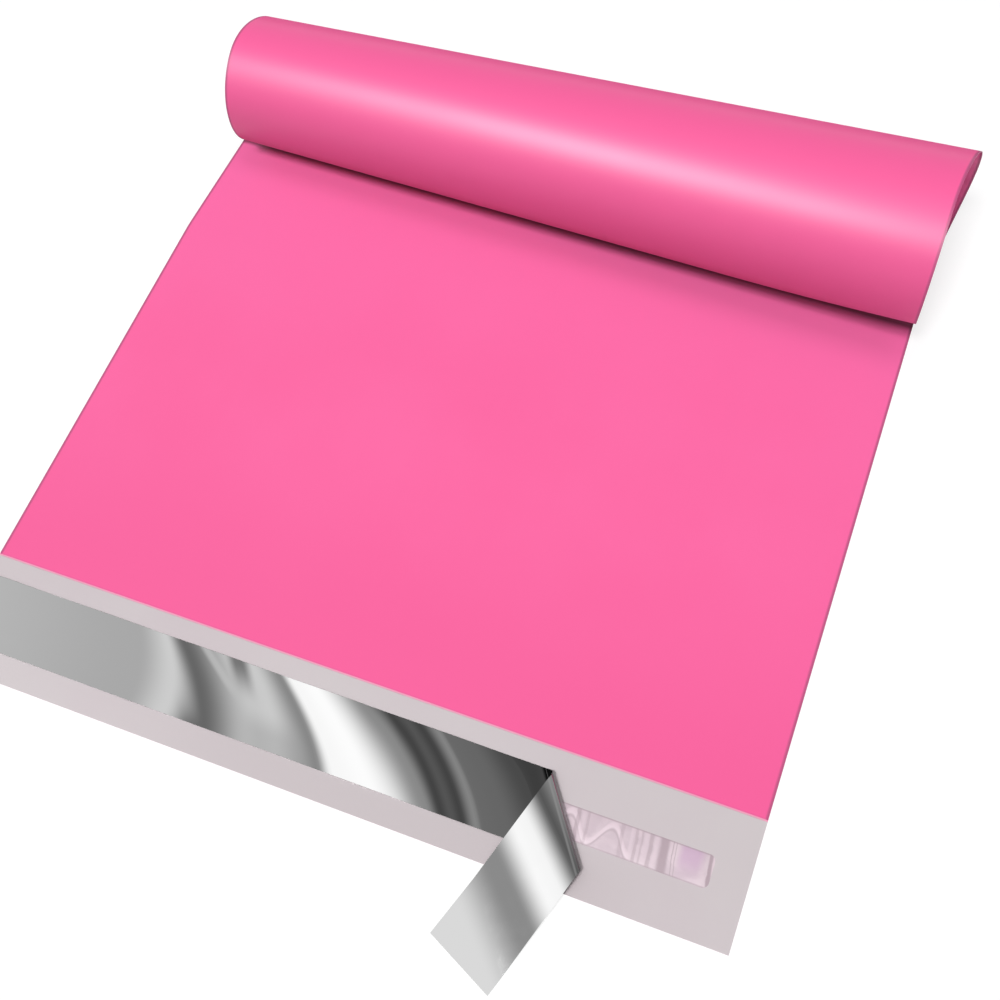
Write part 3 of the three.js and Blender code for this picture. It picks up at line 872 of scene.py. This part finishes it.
def release_liner(materials):
    """The strip's flat grid, bent over the slanted line by the liner's profile.

    Rows run along the strip and are closer at the bend, and columns run across it. Low swells lift
    it off the adhesive, and beside the adhesive it sinks back to the flap.
    """
    end = BAG_WIDTH / 2 - LINER_END_MARGIN
    before = BEND_X - BEND_ROWS[0]
    after = BEND_X + BEND_ROWS[1]
    along = steps((-end, 150), (before, 110), (after, 60), (end, 0))
    across = steps((-LINER_SETBACK - LINER_WIDTH, 26), (-LINER_SETBACK, 0))
    x, y = np.meshgrid(along, across, indexing="ij")
    near_end = np.clip((x - after) / (end - after), 0, 1)
    x = x - LINER_END_LEAN * near_end * (y - across[0]) / LINER_WIDTH
    slanted = [-end, BEND_X - SLANTED_ROWS[0], BEND_X + SLANTED_ROWS[1], end]
    skew = np.interp(along, slanted, [0, 1, 1, 0])[:, None]
    x = x - skew * (y - LINER_MIDDLE) * BEND_NORMAL[1] / BEND_NORMAL[0]
    distance = past_bend(x, y)
    beside = (x - BEND_X) * BEND_LINE[0] + (y - LINER_MIDDLE) * BEND_LINE[1]
    run, height = liner_profile(distance)
    stuck = np.clip(-distance / STUCK_FADE, 0, 1)
    swell = np.sin(SWELL_RATE * (x + SWELL_SLANT * (y - LINER_MIDDLE)) + SWELL_PHASE)
    swell = LINER_SWELL * (0.5 + 0.5 * swell)
    off_glue = np.clip((np.abs(y - GLUE_MIDDLE) - GLUE_HALF_WIDTH) / SINK_FADE, 0, 1)
    height = height + stuck * (swell - LINER_SINK * off_glue)
    points = np.stack([
        BEND_X + BEND_LINE[0] * beside + BEND_NORMAL[0] * run,
        LINER_MIDDLE + BEND_LINE[1] * beside + BEND_NORMAL[1] * run,
        height,
    ], -1)
    return sheet_mesh("release_liner_film", points, LINER_THICKNESS, np.stack([x, y], -1), materials)


# Studio

CAMERA_PLACE = Vector((0.11435, -0.09427, 0.38207))
CAMERA_TARGET = Vector((0.01975, 0.07014, 0.0))
CAMERA_ROLL = math.radians(-10.18)
CAMERA_LENS = 48.17
LAMP_TARGET = Vector((0.0, 0.12, 0.0))
# Soft lamps aimed at the object: place, size, the turn of the long side and the share of full
# light that they give on the floor. The key and the fill give all of it. The glint and the sheen
# are only mirrored: the glint all along the curl, and the sheen in its middle.
KEY_LAMP = (Vector((-0.10, -0.78, 2.0)), (0.35, 0.35), 0.0, 0.56)
FILL_LAMP = (Vector((0.12, 0.16, 1.5)), (0.5, 0.5), 0.0, 0.16)
GLINT_LAMP = (Vector((-0.72, -0.826, 2.0)), (2.25, 0.28), math.radians(-50.0), 0.56)
SHEEN_LAMP = (Vector((-0.68, -0.89, 1.99)), (1.15, 0.34), math.radians(-54.0), 1.35)
SKY_STRENGTH = 0.27
# Floor: it lies just under the bag. Where it is seen, this share of it is paint and the rest glows
FLOOR_SIZE = 4.0
FLOOR_DROP = 0.00005
FLOOR_SHOW = 0.35
FLOOR_PAINT = (0.85, 0.85, 0.85, 1.0)
FLOOR_GLOW = 1.15
WHITE = (1.0, 1.0, 1.0, 1.0)


def make_camera():
    """A camera at the photograph's angle: aimed at a floor point, then rolled about its own axis."""
    camera = bpy.data.objects.new("camera", bpy.data.cameras.new("camera"))
    bpy.context.scene.collection.objects.link(camera)
    camera.data.lens = CAMERA_LENS
    camera.data.clip_start = 0.01
    ahead = (CAMERA_TARGET - CAMERA_PLACE).normalized()
    level = ahead.cross(Vector((0, 0, 1))).normalized()
    axes = Matrix((level, level.cross(ahead), -ahead)).transposed()
    turn = axes @ Matrix.Rotation(CAMERA_ROLL, 3, "Z")
    camera.matrix_world = Matrix.Translation(CAMERA_PLACE) @ turn.to_4x4()
    bpy.context.scene.camera = camera


def make_lamp(name, place, sizes, turn, share):
    """A rectangular lamp aimed at the object.

    A white floor under it shows the given share of white: the power is the share times the square
    of pi and of the distance, over the cosine of the light's slope.
    """
    light = bpy.data.lights.new(name, "AREA")
    light.shape = "RECTANGLE"
    light.size, light.size_y = sizes
    away = place - LAMP_TARGET
    light.energy = share * (math.pi * away.length) ** 2 * away.length / away.z
    back = away.normalized()
    side = back.cross(Vector((math.cos(turn), math.sin(turn), 0))).normalized()
    axes = Matrix((side.cross(back), side, back)).transposed()
    lamp = bpy.data.objects.new(name, light)
    lamp.matrix_world = Matrix.Translation(place) @ axes.to_4x4()
    bpy.context.scene.collection.objects.link(lamp)
    return lamp


def seen_directly(tree):
    """1 for camera, glossy and transmission rays, and 0 for the rays that light the object."""
    ray = node(tree, "LightPath").outputs
    shiny = maths(tree, "MAXIMUM", ray["Is Glossy Ray"], ray["Is Transmission Ray"])
    return maths(tree, "MAXIMUM", ray["Is Camera Ray"], shiny)


def make_sky():
    """A plain sky: white where it is seen, and softer where it lights the object."""
    world = bpy.data.worlds.new("studio")
    world.use_nodes = True
    tree = world.node_tree
    strength = ramp(tree, seen_directly(tree), 0, 1, SKY_STRENGTH, 1.0, smooth=False)
    tree.links.new(strength, tree.nodes["Background"].inputs["Strength"])
    tree.nodes["Background"].inputs["Color"].default_value = WHITE
    bpy.context.scene.world = world


def make_floor():
    """A pale floor just under the bag. Where it is seen it is nearly all white, and keeps a shadow."""
    half = FLOOR_SIZE / 2
    corners = [(-half, -half, -FLOOR_DROP), (half, -half, -FLOOR_DROP),
               (half, half, -FLOOR_DROP), (-half, half, -FLOOR_DROP)]
    mesh = bpy.data.meshes.new("floor")
    mesh.from_pydata(corners, [], [(0, 1, 2, 3)])
    floor = bpy.data.objects.new("floor", mesh)
    bpy.context.scene.collection.objects.link(floor)
    material = bpy.data.materials.new("pale_floor")
    material.use_nodes = True
    tree = material.node_tree
    tree.nodes.clear()
    paint = node(tree, "BsdfDiffuse", Color=FLOOR_PAINT).outputs[0]
    glow = node(tree, "Emission", Color=WHITE, Strength=FLOOR_GLOW).outputs[0]
    share = ramp(tree, seen_directly(tree), 0, 1, 0.0, 1 - FLOOR_SHOW, smooth=False)
    mix = node(tree, "MixShader", Fac=share)
    tree.links.new(paint, mix.inputs[1])
    tree.links.new(glow, mix.inputs[2])
    tree.links.new(mix.outputs[0], node(tree, "OutputMaterial").inputs["Surface"])
    mesh.materials.append(material)


make_camera()
make_lamp("key_lamp", *KEY_LAMP).visible_glossy = False
make_lamp("fill_lamp", *FILL_LAMP).visible_glossy = False
make_lamp("glint_lamp", *GLINT_LAMP).visible_diffuse = False
make_lamp("sheen_lamp", *SHEEN_LAMP).visible_diffuse = False
make_sky()
make_floor()

bpy.context.scene.view_settings.view_transform = "Standard"

film = bag_film([pink_film(), gray_film(), cut_edge_painted_highlight()])
bead = adhesive(hot_melt())
silver = silver_film()
liner = release_liner([silver, silver, silver])

for piece, cad_node, slot in (
    (film, "bag_film", "bag_film"),
    (bead, "adhesive_strip", "adhesive"),
    (liner, "release_liner", "release_liner"),
):
    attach(piece, BODY)
    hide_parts(cad_node)
